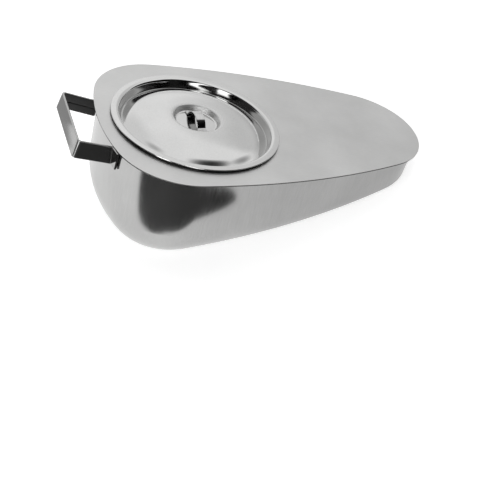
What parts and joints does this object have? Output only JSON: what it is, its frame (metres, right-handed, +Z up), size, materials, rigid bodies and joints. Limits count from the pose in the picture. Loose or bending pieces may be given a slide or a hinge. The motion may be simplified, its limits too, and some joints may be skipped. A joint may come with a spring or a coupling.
{
  "type": "stainless steel slipper bedpan with lid",
  "caption": "Wedge-shaped slipper bedpan: deep heel, thin nose, sloping seat deck with a round plug-in lid, and a strap handle at the heel.",
  "frame": {"origin": "on the flat base, straight below the centre of the seat opening", "axes": "+X along the length to the thin nose, +Y to the left seen from the heel, +Z up"},
  "size_m": [0.4395, 0.2546, 0.1452],
  "materials": {
    "pan_satin": "satin, fine brushing",
    "handle_strap": "plain rolled, lightly polished",
    "lid_polished": "bright polished"
  },
  "bodies": {
    "pan": {"pan_bowl": "pan_satin", "seat_deck": "pan_satin", "handle_bail": "handle_strap"},
    "lid": {"lid_pressing": "lid_polished", "lid_grip": "lid_polished"}
  },
  "joints": [
    {"name": "lid_lift", "type": "slide", "parent": "pan", "child": "lid", "axis": [0.2504, 0, 0.9681], "range_m": [0, 0.12]}
  ]
}
